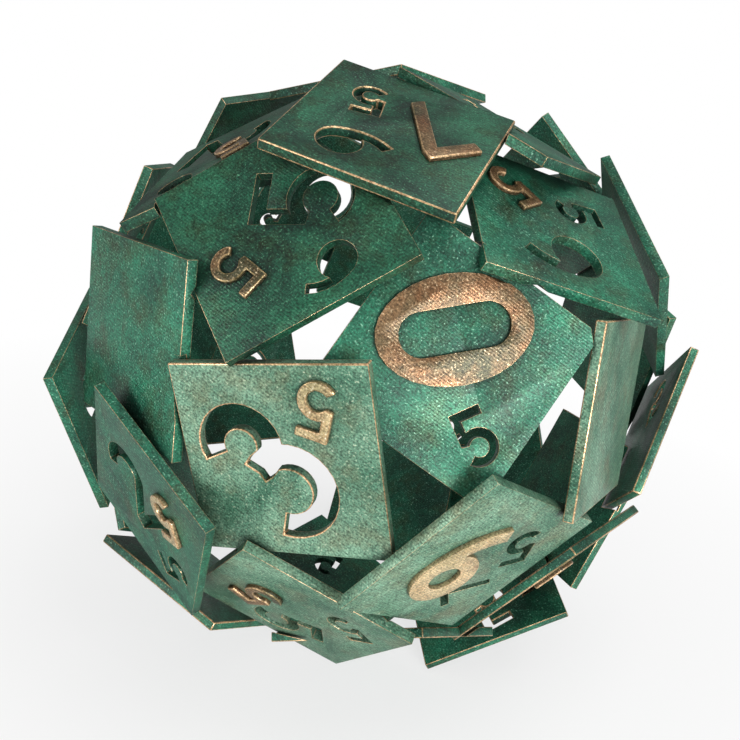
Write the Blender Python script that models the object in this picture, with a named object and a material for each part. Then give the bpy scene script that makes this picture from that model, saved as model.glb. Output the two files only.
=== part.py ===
"""Polyhedral die built as an open shell of thin square plates.

Thirty three equal square plates stand around one centre like the facets of a faceted ball.
Each plate touches its neighbours along edges or corners and leaves triangular windows between
them. A numbered plate has numerals cut right through it and one raised numeral on its face.
Metres, +Z up. The origin is on the ground, under the middle of the die's footprint.
"""

import math

import bpy
from mathutils import Matrix, Vector
from mathutils.geometry import tessellate_polygon

# ---- sizes that can be set one by one -------------------------------------------------------
PLATE_SIDE = 0.018  # edge of one square plate at the usual spread
PLATE_THICKNESS = 0.001  # wall of a plate
RELIEF = 0.0005  # thickness of a raised numeral
CLEARANCE = 0.0003  # gap left between two pieces that meet
SPREAD = 1.0  # how far the plates stand from the centre, against their usual distance
STROKE = 0.16  # width of a numeral's stroke, against its height
ARC_STEP = 13.0  # degrees between two points of a curved outline

# ---- sizes that follow ----------------------------------------------------------------------
SIDE = PLATE_SIDE * SPREAD  # the plates grow with the spread, so that they still meet
CUTTER_REACH = PLATE_THICKNESS + CLEARANCE  # a through cutter passes both faces by a clearance


# ---- outlines of the numerals: height 1, x right, y up, placed about the point they return ---
def arc(centre, radius, start, end, flatten=1.0):
    """Points of an arc from start to end, in degrees; flatten squeezes it across."""
    steps = max(2, math.ceil(abs(end - start) / ARC_STEP))
    points = []
    for i in range(steps + 1):
        angle = math.radians(start + (end - start) * i / steps)
        points.append((
            centre[0] + flatten * radius * math.cos(angle),
            centre[1] + radius * math.sin(angle),
        ))
    return points


def ring(centre, radius, flatten=1.0):
    """Points of a closed circle or ellipse, counted once."""
    return arc(centre, radius, 0.0, 360.0, flatten)[:-1]


def slot(centre, length, width):
    """Points of an upright slot with round ends."""
    end, run = 0.5 * width, 0.5 * (length - width)
    top = arc((centre[0], centre[1] + run), end, 0.0, 180.0)
    return top + arc((centre[0], centre[1] - run), end, 180.0, 360.0)


def nought():
    """An oval ring with a narrow slot for its counter."""
    middle = (0.0, 0.0)
    return [[ring(middle, 0.5, 0.69), slot(middle, 0.71, 0.285)]]


def two():
    """A hook on top, a slanting stem and a flat foot."""
    bowl, outer, width = (0.345, 0.66), 0.34, 0.66
    inner = outer - STROKE
    hook = arc(bowl, inner, -30.0, 150.0) + arc(bowl, outer, 150.0, -30.0)
    foot = [(0.24, STROKE), (width, STROKE), (width, 0.0), (0.0, 0.0), (0.0, 0.155)]
    return [[shifted(hook + foot, -0.5 * width, -0.5)]]


def three():
    """Two open hooks, one over the other, that overlap at the waist."""
    hooks = []
    for height, outer, start, end in ((0.728, 0.272, 160.0, -104.0), (0.318, 0.318, 104.0, -148.0)):
        centre = (0.0, height - 0.5)
        hooks.append([arc(centre, outer, start, end) + arc(centre, outer - STROKE, end, start)])
    return hooks


def five():
    """A flag, a short upright and a round bowl in one stroke."""
    bowl, outer, flag = (0.28, 0.33), 0.33, 0.54
    inner = outer - STROKE
    join = math.degrees(math.acos((STROKE - bowl[0]) / outer))
    outline = [(flag, 1.0), (0.0, 1.0), (0.0, 0.44)]
    outline += arc(bowl, inner, 150.0, -140.0) + arc(bowl, outer, -140.0, join)
    outline += [(STROKE, 1.0 - STROKE), (flag, 1.0 - STROKE)]
    return [[shifted(outline, -0.305, -0.5)]]


def six_outline():
    """A round loop about (0, 0) whose left side runs up into a curved tail."""
    loop, tail, stroke = 0.315, 0.826, 0.155
    middle = (tail - loop, 0.0)
    inner = tail - stroke
    across = (loop**2 - inner**2 + middle[0] ** 2) / (2.0 * middle[0])
    up = math.sqrt(loop**2 - across**2)
    on_loop = math.degrees(math.atan2(up, across))
    on_tail = math.degrees(math.atan2(up, across - middle[0]))
    outline = arc(middle, tail, 121.5, 180.0)
    outline += arc((0.0, 0.0), loop, 180.0, 360.0 + on_loop)[1:]
    return outline + arc(middle, inner, on_tail, 121.5)[1:]


def six():
    """The loop and tail with an open counter."""
    return [[six_outline(), ring((0.0, 0.0), 0.145)]]


def blind_six():
    """The loop and tail without a counter, as a cut numeral needs no loose island."""
    return [[six_outline()]]


def seven():
    """A bar and a slanting stem."""
    bar, slant = 0.61, math.radians(70.0)
    run = (1.0 - STROKE) / math.tan(slant)
    width = STROKE / math.sin(slant)
    outline = [
        (0.0, 1.0),
        (0.0, 1.0 - STROKE),
        (bar - width, 1.0 - STROKE),
        (bar - width - run, 0.0),
        (bar - run, 0.0),
        (bar, 1.0 - STROKE),
        (bar, 1.0),
    ]
    return [[shifted(outline, -0.305, -0.5)]]


def shifted(points, right, up):
    return [(x + right, y + up) for x, y in points]


GLYPHS = {"0": nought, "2": two, "3": three, "5": five, "6": six, "6b": blind_six, "7": seven}

# ---- where each plate stands ----------------------------------------------------------------
# longitude and latitude of its middle seen from the die's centre (degrees, 0 is the front),
# reach of its outer face from that centre (plate sides), then its turn, tip and spin (degrees).
# A numeral is (glyph, across %, down %, turned, height %) of the plate, from its top left corner.
PLATES = [
    ("seven", -7.5, 58.5, 1.84, 5, -6.5, -12.5,
     ("7", 66.5, 40, -132, 49), [("5", 28, 32, 191, 28), ("6b", 31.5, 76.5, -64, 36)]),
    ("right_blank", 47, 11, 1.73, 13.5, 4, -6.5, None, []),
    ("nought", 10.5, 21.5, 1.74, -7, 0.5, -31,
     ("0", 41.5, 39, -45, 75.5), [("5", 79, 73.5, 59, 28)]),
    ("three", -14.5, 1.5, 1.76, -3, 7, 14.5,
     ("5", 72, 22, 161, 30), [("3", 42.5, 55, 42, 78.5)]),
    ("sixes", 38.5, 44.5, 1.74, -1.5, -16.5, -27,
     ("5", 26, 30, 220.5, 31), [("5", 68.5, 30, -83, 29), ("6b", 57, 70.5, 110, 47)]),
    ("six", 19, -12.5, 1.79, 9.5, 11.5, -30.5,
     ("6", 39, 62.5, 0, 60.5), [("5", 70.5, 32, 215, 30), ("7", 70.5, 69.5, 144.5, 28.5)]),
    ("two", -41.5, -17, 1.8, -5.5, 1, -24.5,
     ("5", 69, 33, 211.5, 30), [("2", 37.5, 46.5, 57, 52.5), ("5", 79, 75, 131, 28)]),
    ("low_five", -11, -35, 1.74, -7, 1, -26,
     ("5", 26.5, 50.5, 156, 33), [("5", 75, 30.5, 238, 28.5), ("5", 55.5, 73.5, -63.5, 42)]),
    ("high_five", -24, 36.5, 1.83, 0, 1.5, 47,
     ("5", 21.5, 61, 201, 28), [("5", 66, 41.5, 57.5, 51), ("6b", 66, 81, 117.5, 30.5)]),
    ("left_blank", -48.5, 11.5, 1.78, -0.5, 9, 4.5, None, []),
    ("high_two", -53.5, 48, 1.77, -12.5, -7.5, 137,
     ("5", 47, 52, 116.5, 30), [("2", 70.5, 41.5, 170, 55), ("6b", 30.5, 21.5, 122, 32.5)]),
    ("front_crown", 53.5, 69.5, 1.76, 8.5, -3, 2, None, [("5", 66, 36, 20, 40)]),
    ("right_upper", 85.5, 31, 1.79, 3.5, 5, 37.5, None, [("3", 50, 52, 60, 60)]),
    ("right_crown", 122.5, 39.5, 1.79, -0.5, 6.5, -37, None, [("2", 44, 48, 200, 50)]),
    ("crown", -156, 73.5, 1.75, 3, 1, 29, None, [("6b", 46, 58, 30, 48)]),
    ("left_crown", -127.5, 43, 1.77, 3, 5.5, -9.5,
     ("7", 40, 30, 10, 46), [("5", 70, 70, 140, 32)]),
    ("left_upper", -92.5, 19.5, 1.75, 4, 3, 8, None, [("5", 46, 50, 25, 50)]),
    ("left_edge", -80, -12, 1.78, -11, 4.5, -13.5, None, [("2", 55, 46, -40, 48)]),
    ("right_lower", 85.5, -5.5, 1.9, -12, 6, -35, None, [("5", 39.5, 27.5, 150, 34)]),
    ("right_base", 54.5, -30, 1.74, -4.5, 3, -3.5,
     ("5", 30, 34, 75, 34), [("6b", 64, 64, 200, 38)]),
    ("base", 17.5, -54, 1.74, -2.5, -2.5, -41, None, [("5", 50, 48, 100, 46)]),
    ("left_foot", -64.5, -57, 1.87, 6.5, 5.5, -29, None, [("2", 48, 44, 15, 42)]),
    ("right_foot", 81.5, -55.5, 1.8, 20, 4.5, -7.5, None, [("5", 27, 46, 80, 36)]),
    ("left_lower", -96.5, -37, 1.79, -2, -1, 36.5,
     ("5", 34, 34, 45, 32), [("3", 58, 58, -20, 46)]),
    ("back_foot", 156, -55.5, 1.73, -12, -4.5, -11, None, []),
    ("back_left", -122.5, 1, 1.76, -10.5, 11, -63,
     ("5", 30, 68, -30, 32), [("6b", 62, 44, 20, 44)]),
    ("back_high", -162.5, 26, 1.84, 2, 10, 20.5,
     ("5", 21, 19, 30, 28), [("6b", 48, 50, -35, 64), ("5", 82, 84, 0, 22)]),
    ("back_middle", 175.5, 11.5, 1.76, 8.5, -1.5, 14.5,
     ("5", 70, 26, 110, 32), [("2", 38, 58, 30, 50)]),
    ("right_rear", 109, 8.5, 1.82, 5.5, 0, 16.5,
     ("7", 58, 36, -60, 44), [("5", 28, 70, 190, 32)]),
    ("back_right_low", 132.5, -34.5, 1.81, 1, 0.5, 49,
     ("0", 42, 42, -45, 66), [("5", 80, 78, 60, 26)]),
    ("right_low", 94.5, -27, 1.78, 11.5, -4, -11.5,
     ("5", 28, 28, 40, 32), []),
    ("back_left_low", -142.5, -25.5, 1.73, -2, 10, 4,
     ("5", 70, 70, -70, 32), [("5", 36, 40, 120, 44)]),
    ("underside", -78.5, -88, 1.73, -10.5, -8.5, 47, None, [("5", 38, 38, 75, 26)]),
]

# Where one plate runs through another and would lie over its face, that flap is cut away.
LAPS = {"front_crown": ["seven"], "left_blank": ["three"], "high_two": ["seven", "high_five"]}
LAP_HEIGHT = 0.3  # how high over the face a flap is cut, against the plate's side

# ---- the metals -----------------------------------------------------------------------------
PATINA = (0.16, 0.24, 0.17, 1.0)  # green aged face of a plate
BRIGHT = (0.42, 0.28, 0.13, 1.0)  # rubbed face of a raised numeral


def metal(name, colour, roughness):
    """One Principled material."""
    material = bpy.data.materials.new(name)
    material.use_nodes = True
    shader = material.node_tree.nodes["Principled BSDF"]
    shader.inputs["Base Color"].default_value = colour
    shader.inputs["Metallic"].default_value = 1.0
    shader.inputs["Roughness"].default_value = roughness
    return material


# ---- bodies ---------------------------------------------------------------------------------
def prism(name, loops, bottom, top, place):
    """A closed prism from an outer outline and its holes, set down by the matrix place."""
    flat = [Vector((x, y, 0.0)) for loop in loops for x, y in loop]
    count = len(flat)
    points = [place @ Vector((p.x, p.y, bottom)) for p in flat]
    points += [place @ Vector((p.x, p.y, top)) for p in flat]
    faces = []
    large = [[Vector((x, y, 0.0)) / SIDE for x, y in loop] for loop in loops]
    for a, b, c in tessellate_polygon(large):
        if (flat[b] - flat[a]).cross(flat[c] - flat[a]).z < 0.0:
            b, c = c, b
        faces.append((a + count, b + count, c + count))
        faces.append((c, b, a))
    first = 0
    for number, loop in enumerate(loops):
        forward = (signed_area(loop) > 0.0) == (number == 0)
        for i in range(len(loop)):
            a, b = first + i, first + (i + 1) % len(loop)
            if not forward:
                a, b = b, a
            faces.append((a, b, b + count, a + count))
        first += len(loop)
    mesh = bpy.data.meshes.new(name)
    mesh.from_pydata(points, [], faces)
    mesh.update()
    body = bpy.data.objects.new(name, mesh)
    bpy.context.scene.collection.objects.link(body)
    return body


def signed_area(loop):
    return sum(x0 * y1 - x1 * y0 for (x0, y0), (x1, y1) in zip(loop, loop[1:] + loop[:1]))


def square(side):
    half = 0.5 * side
    return [(-half, -half), (half, -half), (half, half), (-half, half)]


def stance(longitude, latitude, reach, turn, tip, spin):
    """Matrix of a plate: x to its right, y up its face, z out of the die, z = 0 its face."""
    def about(axis, degrees):
        return Matrix.Rotation(math.radians(degrees), 4, axis)

    outward = about("Z", longitude) @ about("X", 90.0 - latitude)
    away = Matrix.Translation((0.0, 0.0, reach * SIDE))
    return outward @ away @ about("Y", turn) @ about("X", tip) @ about("Z", spin)


def numeral_loops(numeral):
    """Outlines of a numeral in the plate's own x and y, in metres."""
    glyph, across, down, turned, height = numeral
    middle_x = (across / 100.0 - 0.5) * SIDE
    middle_y = (0.5 - down / 100.0) * SIDE
    scale = height / 100.0 * SIDE
    cosine, sine = math.cos(math.radians(turned)), math.sin(math.radians(turned))
    shapes = []
    for shape in GLYPHS[glyph]():
        loops = []
        for loop in shape:
            loops.append([
                (
                    middle_x + scale * (x * cosine - y * sine),
                    middle_y + scale * (x * sine + y * cosine),
                )
                for x, y in loop
            ])
        shapes.append(loops)
    return shapes


def carve(body, cutter):
    """Take the cutter out of the body and keep the largest piece that is left."""
    cutter.hide_render = True
    cutter.display_type = "WIRE"
    cut = body.modifiers.new("cut", "BOOLEAN")
    cut.operation = "DIFFERENCE"
    cut.solver = "EXACT"
    cut.object = cutter
    scene_state = bpy.context.evaluated_depsgraph_get()
    result = bpy.data.meshes.new_from_object(body.evaluated_get(scene_state))
    body.modifiers.clear()
    body.data = largest_piece(result)
    bpy.data.objects.remove(cutter, do_unlink=True)


def largest_piece(mesh):
    """The mesh without the smaller separate pieces a cut has left."""
    neighbours = {i: set() for i in range(len(mesh.vertices))}
    for edge in mesh.edges:
        a, b = edge.vertices
        neighbours[a].add(b)
        neighbours[b].add(a)
    pieces, left = [], set(neighbours)
    while left:
        start = min(left)
        seen, queue = {start}, [start]
        while queue:
            for other in neighbours[queue.pop()] - seen:
                seen.add(other)
                queue.append(other)
        pieces.append(seen)
        left -= seen
    if len(pieces) < 2:
        return mesh
    kept = sorted(max(pieces, key=len))
    renumber = {old: new for new, old in enumerate(kept)}
    faces = [tuple(face.vertices) for face in mesh.polygons if face.vertices[0] in renumber]
    whole = bpy.data.meshes.new(mesh.name)
    whole.from_pydata(
        [mesh.vertices[i].co for i in kept],
        [],
        [tuple(renumber[v] for v in face) for face in faces],
    )
    whole.update()
    return whole


def slab(name, place, grow, above):
    """A plate's plain slab, grown sideways and inwards by grow and outwards by above."""
    outline = square(SIDE + 2.0 * grow)
    return prism(name, [outline], -PLATE_THICKNESS - grow, above, place)


def touches(place, other):
    """Whether two plates' grown slabs can meet: no face of either keeps them apart."""
    half = Vector((0.5 * SIDE + CLEARANCE, 0.5 * SIDE + CLEARANCE))
    return separated(place, other, half) is False and separated(other, place, half) is False


def separated(place, other, half):
    inverse = place.inverted()
    corners = []
    for x in (-half.x, half.x):
        for y in (-half.y, half.y):
            for z in (-PLATE_THICKNESS - CLEARANCE, CLEARANCE):
                corners.append(inverse @ (other @ Vector((x, y, z))))
    low = [min(c[i] for c in corners) for i in range(3)]
    high = [max(c[i] for c in corners) for i in range(3)]
    bounds = ((-half.x, half.x), (-half.y, half.y), (-PLATE_THICKNESS - CLEARANCE, CLEARANCE))
    return any(low[i] > bounds[i][1] or high[i] < bounds[i][0] for i in range(3))


def build():
    for old in list(bpy.data.objects):
        bpy.data.objects.remove(old, do_unlink=True)
    places = {}
    for name, longitude, latitude, reach, turn, tip, spin, _, _ in PLATES:
        places[name] = stance(longitude, latitude, reach, turn, tip, spin)

    bodies = []
    for index, plate in enumerate(PLATES):
        name, raised, cuts = plate[0], plate[7], plate[8]
        place = places[name]
        body = slab("plate_" + name, place, 0.0, 0.0)
        for number, cut in enumerate(cuts):
            for loops in numeral_loops(cut):
                cutter = prism("cutter", loops, -CUTTER_REACH, CLEARANCE, place)
                carve(body, cutter)
        # a plate gives way to the plates listed before it
        for earlier in PLATES[:index]:
            if touches(place, places[earlier[0]]):
                above = LAP_HEIGHT * SIDE if earlier[0] in LAPS.get(name, []) else CLEARANCE
                carve(body, slab("cutter", places[earlier[0]], CLEARANCE, above))
        body.data.materials.clear()
        body.data.materials.append(metal("plate_" + name, PATINA, 0.45))
        bodies.append(body)
        if raised is None:
            continue
        loops = numeral_loops(raised)[0]
        figure = prism("numeral_" + name, loops, CLEARANCE, CLEARANCE + RELIEF, place)
        for other in PLATES:
            if other is not plate and touches(place, places[other[0]]):
                carve(figure, slab("cutter", places[other[0]], CLEARANCE, CLEARANCE))
        figure.data.materials.clear()
        figure.data.materials.append(metal("numeral_" + name, BRIGHT, 0.3))
        bodies.append(figure)

    points = [vertex.co for body in bodies for vertex in body.data.vertices]
    low = [min(p[i] for p in points) for i in range(3)]
    high = [max(p[i] for p in points) for i in range(3)]
    move = Matrix.Translation((-0.5 * (low[0] + high[0]), -0.5 * (low[1] + high[1]), -low[2]))
    for body in bodies:
        body.data.transform(move)
        body.data.name = body.name


build()
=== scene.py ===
"""Polyhedral die of patinated, bronze-filled printed steel on a white sweep."""

import math

import bpy
from mathutils import Matrix, Vector


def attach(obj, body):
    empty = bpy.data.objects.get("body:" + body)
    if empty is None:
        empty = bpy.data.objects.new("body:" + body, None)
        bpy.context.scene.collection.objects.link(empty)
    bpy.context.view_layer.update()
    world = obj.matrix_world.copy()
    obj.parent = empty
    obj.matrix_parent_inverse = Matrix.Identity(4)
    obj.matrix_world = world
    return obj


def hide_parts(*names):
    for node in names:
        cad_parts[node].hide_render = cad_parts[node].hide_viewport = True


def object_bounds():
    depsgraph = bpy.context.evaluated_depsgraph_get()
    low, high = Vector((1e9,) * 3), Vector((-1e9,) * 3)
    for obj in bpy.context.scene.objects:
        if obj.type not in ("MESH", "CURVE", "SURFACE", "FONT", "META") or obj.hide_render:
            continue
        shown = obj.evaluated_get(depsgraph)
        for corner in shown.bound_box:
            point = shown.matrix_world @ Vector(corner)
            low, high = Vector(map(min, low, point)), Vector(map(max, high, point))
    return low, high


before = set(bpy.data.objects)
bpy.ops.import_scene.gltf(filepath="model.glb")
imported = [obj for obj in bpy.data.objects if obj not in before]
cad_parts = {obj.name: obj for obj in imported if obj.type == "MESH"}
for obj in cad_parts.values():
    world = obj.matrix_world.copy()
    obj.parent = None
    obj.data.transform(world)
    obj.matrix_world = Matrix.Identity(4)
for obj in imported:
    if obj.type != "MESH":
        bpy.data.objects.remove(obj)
cad_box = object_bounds()

MM = 0.001
FIGURE_GAP = 0.3 * MM  # clearance that the CAD leaves under a raised figure
FOOT_SUNK = 0.05 * MM  # how far a figure's foot goes into its plate
EDGE_RADIUS = 0.13 * MM  # rubbed arris of a printed edge
PAINTED_SHADE_REACH = 2.6 * MM  # how far the painted shade reaches out of a corner
LAYER_PITCH = 0.25 * MM  # printed layers, drawn a little coarse so that they show
BUMP_DEPTH = 0.05 * MM  # depth of the layer lines and the pits

# grains to a metre: one over the size of a cloud, bloom, brush mark or pit
CLOUDS = 0.13 / MM  # 7.7 mm
BLOOMS = 0.26 / MM  # 3.8 mm
BRUSH_MARKS = 2.9 / MM  # 0.34 mm
PITS = 5.2 / MM  # 0.19 mm
WAVE_TO_PITCH = 0.314  # scale of a Wave texture times the distance between its bands

# a plate's outer and inner face point along its outward normal to within this cosine
FACE_COSINE = 0.9
OUTER, WALL_SIDE, INNER, EDGE_SLOT = range(4)

# plates given the paler copy of the patina, as painted light
LIT_PLATES = ("plate_three", "plate_six", "plate_low_five", "plate_right_blank")
# plates given the darker copy of the patina, as painted shade
SHADED_PLATES = ("plate_high_five", "plate_high_two", "plate_seven", "plate_left_crown")
GOLDEN_NUMERALS = ("numeral_three", "numeral_six", "numeral_two")


# ---- small helpers --------------------------------------------------------------------------
def linear(code):
    """sRGB hex code to a linear colour."""
    parts = [int(code[i:i + 2], 16) / 255.0 for i in (1, 3, 5)]
    red_green_blue = tuple(
        p / 12.92 if p <= 0.04045 else ((p + 0.055) / 1.055) ** 2.4 for p in parts)
    return red_green_blue + (1.0,)


def add(tree, kind, settings=None, links=None):
    """Adds a node, sets its properties or inputs, and links inputs to other nodes' outputs."""
    node = tree.nodes.new(kind)
    for key, value in (settings or {}).items():
        if isinstance(key, str) and hasattr(node, key):
            setattr(node, key, value)
        else:
            node.inputs[key].default_value = value
    for key, source in (links or {}).items():
        tree.links.new(source, node.inputs[key])
    return node


def ramp(tree, factor, stops):
    """A colour ramp with (position, colour) stops; a number is a grey."""
    node = add(tree, "ShaderNodeValToRGB", links={"Fac": factor})
    for stop, (position, colour) in zip(node.color_ramp.elements, stops):
        stop.position = position
        stop.color = colour if isinstance(colour, tuple) else (colour,) * 3 + (1.0,)
    return node.outputs["Color"]


def darken(tree, colour, shade, amount):
    """Multiplies a colour by a shade, by that amount."""
    node = add(tree, "ShaderNodeMix",
               {"data_type": "RGBA", "blend_type": "MULTIPLY", 0: amount}, {6: colour, 7: shade})
    return node.outputs[2]


def cover(tree, colour, mask, code):
    """Covers a colour with another one where the mask is white."""
    node = add(tree, "ShaderNodeMix", {"data_type": "RGBA", 7: linear(code)}, {0: mask, 6: colour})
    return node.outputs[2]


def only(piece):
    """Makes the piece the one selected and active object."""
    bpy.ops.object.select_all(action="DESELECT")
    piece.select_set(True)
    bpy.context.view_layer.objects.active = piece


# ---- materials ------------------------------------------------------------------------------
def patinated_bronze(name, patina, ground, bare, speck, rough, sheen, bump, specular=0.5):
    """Bronze-filled steel with a brushed-on patina, rubbed back to warm metal in places.

    patina and ground are the two colours of the clouds, bare is the metal where the coat is thin
    and speck the colour of the pale grains. The coat is matt, and shines more where it is thin.
    """
    material = bpy.data.materials.new(name)
    material.use_nodes = True
    tree = material.node_tree
    tree.nodes.clear()
    out = add(tree, "ShaderNodeOutputMaterial")
    shader = add(tree, "ShaderNodeBsdfPrincipled", {"Specular IOR Level": specular})
    tree.links.new(shader.outputs[0], out.inputs["Surface"])
    place = add(tree, "ShaderNodeTexCoord").outputs["Object"]

    # clouds of patina over a darker ground
    cloud = add(tree, "ShaderNodeTexNoise",
                {"Scale": CLOUDS, "Detail": 6.0, "Roughness": 0.62, "Distortion": 0.4},
                {"Vector": place})
    colour = ramp(tree, cloud.outputs["Fac"], [(0.38, linear(ground)), (0.62, linear(patina))])
    # bloom of bare metal where the coat is thin
    bloom = add(tree, "ShaderNodeTexNoise",
                {"Scale": BLOOMS, "Detail": 5.0, "Roughness": 0.7}, {"Vector": place})
    thin = ramp(tree, bloom.outputs["Fac"], [(0.48, 0.0), (0.76, 0.7)])
    colour = cover(tree, colour, thin, bare)
    # dark pits
    grit = add(tree, "ShaderNodeTexNoise",
               {"Scale": PITS, "Detail": 3.0, "Roughness": 0.6}, {"Vector": place})
    pits = ramp(tree, grit.outputs["Fac"], [(0.36, 0.35), (0.52, 1.05)])
    colour = darken(tree, colour, pits, 0.9)
    # uneven coat, brushed thick and thin
    coat = add(tree, "ShaderNodeTexNoise",
               {"Scale": BRUSH_MARKS, "Detail": 6.0, "Roughness": 0.8}, {"Vector": place})
    uneven = ramp(tree, coat.outputs["Fac"], [(0.38, 0.6), (0.62, 1.22)])
    colour = darken(tree, colour, uneven, 0.85)
    # pale grains on top of the coat
    specks = ramp(tree, grit.outputs["Fac"], [(0.6, 0.0), (0.72, 0.75)])
    colour = cover(tree, colour, specks, speck)
    # layer lines: the print's upright axis leans, so they cross each face at its own slant
    lean = add(tree, "ShaderNodeMapping", {"Rotation": (0.35, -0.5, 0.2)}, {"Vector": place})
    layers = add(tree, "ShaderNodeTexWave",
                 {"wave_type": "BANDS", "bands_direction": "Z",
                  "Scale": WAVE_TO_PITCH / LAYER_PITCH, "Distortion": 0.9, "Detail": 2.0,
                  "Detail Scale": 0.4},
                 {"Vector": lean.outputs[0]})
    grooves = ramp(tree, layers.outputs["Fac"], [(0.0, 0.76), (0.6, 1.04)])
    colour = darken(tree, colour, grooves, 0.8)
    # painted shade: colour darkened by ambient occlusion where plates and figures meet
    occlusion = add(tree, "ShaderNodeAmbientOcclusion", {"samples": 6, "Distance": PAINTED_SHADE_REACH})
    painted_shade = ramp(tree, occlusion.outputs["AO"], [(0.3, 0.34), (0.92, 1.0)])
    colour = darken(tree, colour, painted_shade, 1.0)
    tree.links.new(colour, shader.inputs["Base Color"])

    shine = ramp(tree, thin, [(0.0, rough), (0.8, rough - 0.12)])
    tree.links.new(shine, shader.inputs["Roughness"])
    if sheen:
        metalness = ramp(tree, thin, [(0.0, sheen), (0.7, min(1.0, sheen + 0.35))])
        tree.links.new(metalness, shader.inputs["Metallic"])
    height = add(tree, "ShaderNodeMix", {"data_type": "FLOAT", 0: 0.8},
                 {2: layers.outputs["Fac"], 3: grit.outputs["Fac"]})
    relief = add(tree, "ShaderNodeBump", {"Strength": bump, "Distance": BUMP_DEPTH},
                 {"Height": height.outputs[0]})
    tree.links.new(relief.outputs[0], shader.inputs["Normal"])
    return material


# bronze-filled steel under a brushed patina: deep leaf green clouds over a dark ground
FACE = patinated_bronze(
    "patina_face", patina="#2f8363", ground="#1a4f3d", bare="#534a30", speck="#9ed0b4",
    rough=0.46, sheen=0.2, bump=0.9)
# the same, paler, greyer green with a satin sheen: painted light, for the plates that catch most
# of the key and floor light
PAINTED_LIGHT_FACE = patinated_bronze(
    "patina_face_painted_light", patina="#7ea88c", ground="#47785f", bare="#8a8060", speck="#d0d8bc",
    rough=0.4, sheen=0.35, bump=0.9)
# the same, darker, with a nearly black ground: painted shade, for the plates that get least light
PAINTED_SHADE_FACE = patinated_bronze(
    "patina_face_painted_shade", patina="#27694c", ground="#0d3225", bare="#3d321d", speck="#5f9c78",
    rough=0.46, sheen=0.25, bump=1.0)
# printed walls of plates and cuts, where patina gathers: brighter, bluer green
WALL = patinated_bronze(
    "patina_wall", patina="#3aa67f", ground="#1d6c52", bare="#4a6a4c", speck="#a5d0ac",
    rough=0.46, sheen=0.2, bump=0.9)
# printed inner sides, never rubbed: near-black green without gloss
INSIDE = patinated_bronze(
    "patina_inside", patina="#1b4a38", ground="#0c261b", bare="#242c1c", speck="#3a5a46",
    rough=0.85, sheen=0.0, bump=0.8, specular=0.0)
# arris rubbed down to the bronze: a bright warm line, with green left here and there
ARRIS = patinated_bronze(
    "rubbed_bronze_arris", patina="#ffcf9e", ground="#8a7a52", bare="#f8cc9c", speck="#fff0d4",
    rough=0.3, sheen=0.5, bump=0.4)
# raised figures rubbed to bronze: warm brown, with green left in the grain
NUMERAL = patinated_bronze(
    "rubbed_bronze_numeral", patina="#a07a56", ground="#4f4e36", bare="#9a5f3c",
    speck="#f6dcb4", rough=0.38, sheen=0.4, bump=1.0)
# raised figures polished further: pale gold
GOLDEN = patinated_bronze(
    "polished_bronze_numeral", patina="#f0d4a4", ground="#a69a70", bare="#d0a070",
    speck="#fff4dc", rough=0.34, sheen=0.4, bump=0.8)


# ---- plates and raised figures --------------------------------------------------------------
def outward_of(points, centre):
    """Unit normal of the flat slab with these corners, pointing away from the centre."""
    middle = sum(points, Vector()) / len(points)
    scatter = Matrix(((0.0,) * 3,) * 3)
    for point in points:
        arm = point - middle
        for i in range(3):
            for j in range(3):
                scatter[i][j] += arm[i] * arm[j]
    # power iteration on the inverse finds the direction in which the slab is thinnest
    axis = (middle - centre).normalized()
    inverse = (scatter + Matrix.Identity(3) * 1e-12).inverted()
    for _ in range(40):
        axis = (inverse @ axis).normalized()
    if axis.dot(middle - centre) < 0.0:
        axis.negate()
    return axis


def seat(piece, out):
    """Moves a raised figure onto its plate, its foot a little further."""
    corners = piece.data.vertices
    foot = min(corner.co.dot(out) for corner in corners) + 0.1 * MM
    for corner in corners:
        corner.select = corner.co.dot(out) < foot
    bpy.ops.object.mode_set(mode="EDIT")
    bpy.ops.transform.translate(value=-out * FOOT_SUNK)
    bpy.ops.mesh.select_all(action="SELECT")
    bpy.ops.transform.translate(value=-out * FIGURE_GAP)
    bpy.ops.object.mode_set(mode="OBJECT")


def finishes(node_name, is_plate):
    """Materials of the outer face, the walls, the inner face and the arris."""
    if is_plate:
        # some plates get a paler copy of the patina as painted light, some a darker copy as
        # painted shade
        pale, dark = node_name in LIT_PLATES, node_name in SHADED_PLATES
        return PAINTED_LIGHT_FACE if pale else PAINTED_SHADE_FACE if dark else FACE, WALL, INSIDE, ARRIS
    figure = GOLDEN if node_name in GOLDEN_NUMERALS else NUMERAL
    return figure, ARRIS, figure, ARRIS


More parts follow.
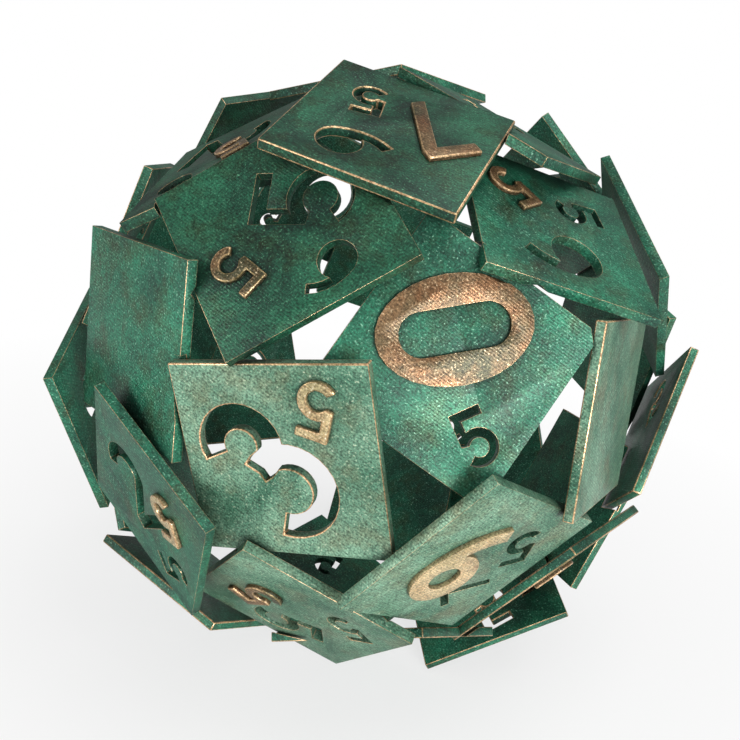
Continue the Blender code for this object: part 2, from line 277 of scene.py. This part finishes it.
def finish_piece(node_name, centre):
    """A copy of the node with merged faces, a rubbed arris and a finish for every side."""
    is_plate = node_name.startswith("plate")
    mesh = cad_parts[node_name].data.copy()
    name = node_name.replace("plate", "square").replace("numeral", "figure")
    piece = bpy.data.objects.new(name, mesh)
    bpy.context.scene.collection.objects.link(piece)
    only(piece)
    bpy.ops.object.mode_set(mode="EDIT")
    bpy.ops.mesh.select_all(action="SELECT")
    bpy.ops.mesh.remove_doubles(threshold=0.01 * MM)
    bpy.ops.mesh.dissolve_limited(angle_limit=math.radians(2.0))
    bpy.ops.object.mode_set(mode="OBJECT")
    out = outward_of([corner.co.copy() for corner in mesh.vertices], centre)
    if not is_plate:
        seat(piece, out)
    for face in mesh.polygons:
        facing = face.normal.dot(out)
        face.material_index = (
            OUTER if facing > FACE_COSINE else INNER if facing < -FACE_COSINE else WALL_SIDE)
    mesh.materials.clear()
    for material in finishes(node_name, is_plate):
        mesh.materials.append(material)
    edge = piece.modifiers.new("arris", "BEVEL")
    edge.width = EDGE_RADIUS
    edge.segments = 2
    edge.limit_method = "ANGLE"
    edge.angle_limit = math.radians(35.0)
    edge.material = EDGE_SLOT
    edge.use_clamp_overlap = True
    bpy.ops.object.modifier_apply(modifier="arris")
    bpy.ops.object.shade_smooth_by_angle(angle=math.radians(32.0))
    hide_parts(node_name)
    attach(piece, "root")


box_centre = 0.5 * (Vector(cad_box[0]) + Vector(cad_box[1]))
for node_name in sorted(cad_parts):
    finish_piece(node_name, box_centre)

# ---- floor ----------------------------------------------------------------------------------
# white paper: near the die it takes a soft shadow, further out it runs into the white behind
paper = bpy.data.materials.new("white_paper_sweep")
paper.use_nodes = True
tree = paper.node_tree
tree.nodes.clear()
out = add(tree, "ShaderNodeOutputMaterial")
matt = add(tree, "ShaderNodeBsdfDiffuse", {"Color": (0.86, 0.86, 0.86, 1.0)})
glow = add(tree, "ShaderNodeEmission", {"Color": (1.0, 1.0, 1.0, 1.0), "Strength": 1.0})
ray = add(tree, "ShaderNodeLightPath")
spot = add(tree, "ShaderNodeTexCoord").outputs["Object"]
away = add(tree, "ShaderNodeVectorMath", {"operation": "LENGTH"}, {0: spot})
fade = add(tree, "ShaderNodeMapRange",
           {"From Min": 20 * MM, "From Max": 110 * MM, "To Min": 0.72, "To Max": 1.0},
           {"Value": away.outputs["Value"]})
seen = add(tree, "ShaderNodeMath", {"operation": "MULTIPLY"},
           {0: ray.outputs["Is Camera Ray"], 1: fade.outputs[0]})
both = add(tree, "ShaderNodeMixShader",
           links={0: seen.outputs[0], 1: matt.outputs[0], 2: glow.outputs[0]})
tree.links.new(both.outputs[0], out.inputs["Surface"])

bpy.ops.object.select_all(action="DESELECT")
bpy.ops.mesh.primitive_plane_add(size=4.0, location=(0.0, 0.0, -0.05 * MM))
floor = bpy.context.object
floor.name = "floor"
floor.data.materials.append(paper)

# ---- light ----------------------------------------------------------------------------------
world = bpy.data.worlds.new("studio")
bpy.context.scene.world = world
world.use_nodes = True
sky = world.node_tree
sky.nodes.clear()
sky_out = add(sky, "ShaderNodeOutputWorld")
soft = add(sky, "ShaderNodeBackground", {"Color": (1.0, 1.0, 1.0, 1.0), "Strength": 0.28})
white = add(sky, "ShaderNodeBackground", {"Color": (1.0, 1.0, 1.0, 1.0), "Strength": 1.0})
sky_ray = add(sky, "ShaderNodeLightPath")
sky_mix = add(sky, "ShaderNodeMixShader",
              links={0: sky_ray.outputs["Is Camera Ray"], 1: soft.outputs[0],
                     2: white.outputs[0]})
sky.links.new(sky_mix.outputs[0], sky_out.inputs["Surface"])


def softbox(name, place, size, power):
    """A square lamp aimed at the die's middle."""
    lamp = bpy.data.lights.new(name, "AREA")
    lamp.energy = power
    lamp.size = size
    holder = bpy.data.objects.new(name, lamp)
    bpy.context.scene.collection.objects.link(holder)
    holder.location = place
    holder.rotation_euler = (box_centre - Vector(place)).to_track_quat("-Z", "Y").to_euler()


softbox("key", (0.19, -0.45, 0.04), 0.26, 4.4)
softbox("left_fill", (-0.42, -0.26, 0.10), 0.22, 0.9)
softbox("top", (0.10, -0.05, 0.50), 0.30, 0.9)

# ---- camera ---------------------------------------------------------------------------------
# it stands 102 mm from the point round which the plates were set, turned 9 degrees on its axis
plate_centre = Vector((-0.00172, 0.00099, 0.03355))
stand = Vector((-0.00532577, -0.09603175, 0.03374415))
right = Vector((0.98840215, 0.0, 0.15185912))
down = Vector((0.14270089, -0.34202014, -0.92879421))
ahead = Vector((0.05193888, 0.93969262, -0.33805344))

lens = bpy.data.cameras.new("lens")
lens.sensor_width = 36.0
lens.lens = 41.67
lens.clip_start = 5 * MM
lens.dof.use_dof = False
camera = bpy.data.objects.new("camera", lens)
bpy.context.scene.collection.objects.link(camera)
turn = Matrix((right, -down, -ahead)).transposed().to_4x4()
camera.matrix_world = Matrix.Translation(plate_centre + stand) @ turn
bpy.context.scene.camera = camera
bpy.context.scene.view_settings.view_transform = "Standard"
